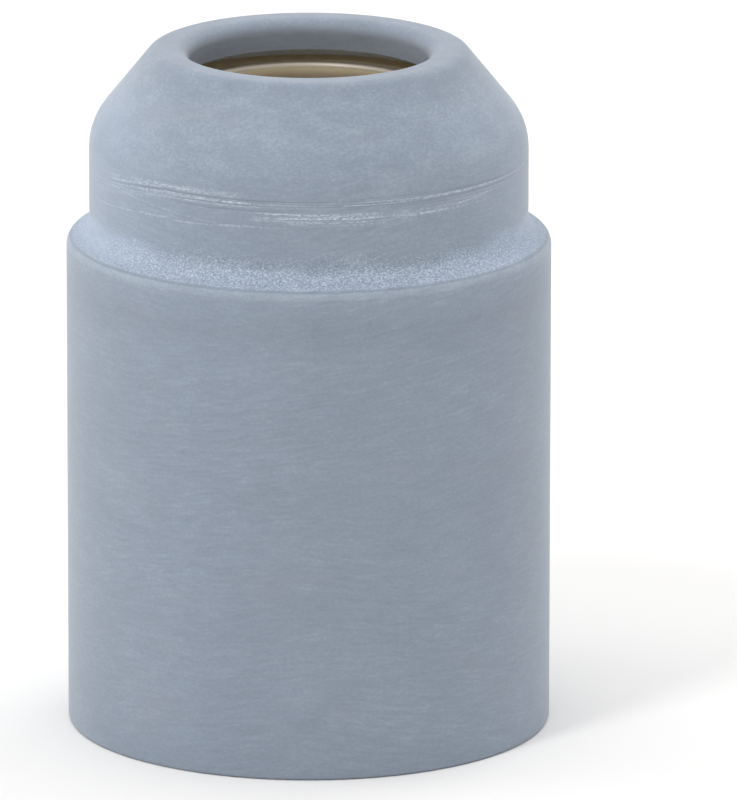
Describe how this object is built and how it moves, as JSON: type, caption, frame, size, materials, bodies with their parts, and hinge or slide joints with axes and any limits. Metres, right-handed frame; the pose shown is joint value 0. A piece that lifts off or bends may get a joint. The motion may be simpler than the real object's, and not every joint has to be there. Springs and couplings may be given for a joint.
{
  "type": "plasma torch shield cap",
  "caption": "Moulded shield cap with a stepped nose and an open mouth, and a brass threaded insert that clamps the nozzle of a plasma cutting torch.",
  "frame": {"origin": "centre of the rear rim, on the plane that the cap stands on", "axes": "+Z along the axis, from the rear rim towards the mouth; X and Y are any two directions across it"},
  "size_m": [0.0295, 0.0294, 0.042],
  "materials": {
    "shell": "matte moulded heat-resistant compound with turning marks",
    "insert": "turned, satin"
  },
  "bodies": {
    "root": {"insulating_shell": "shell", "threaded_insert": "insert"}
  },
  "joints": []
}
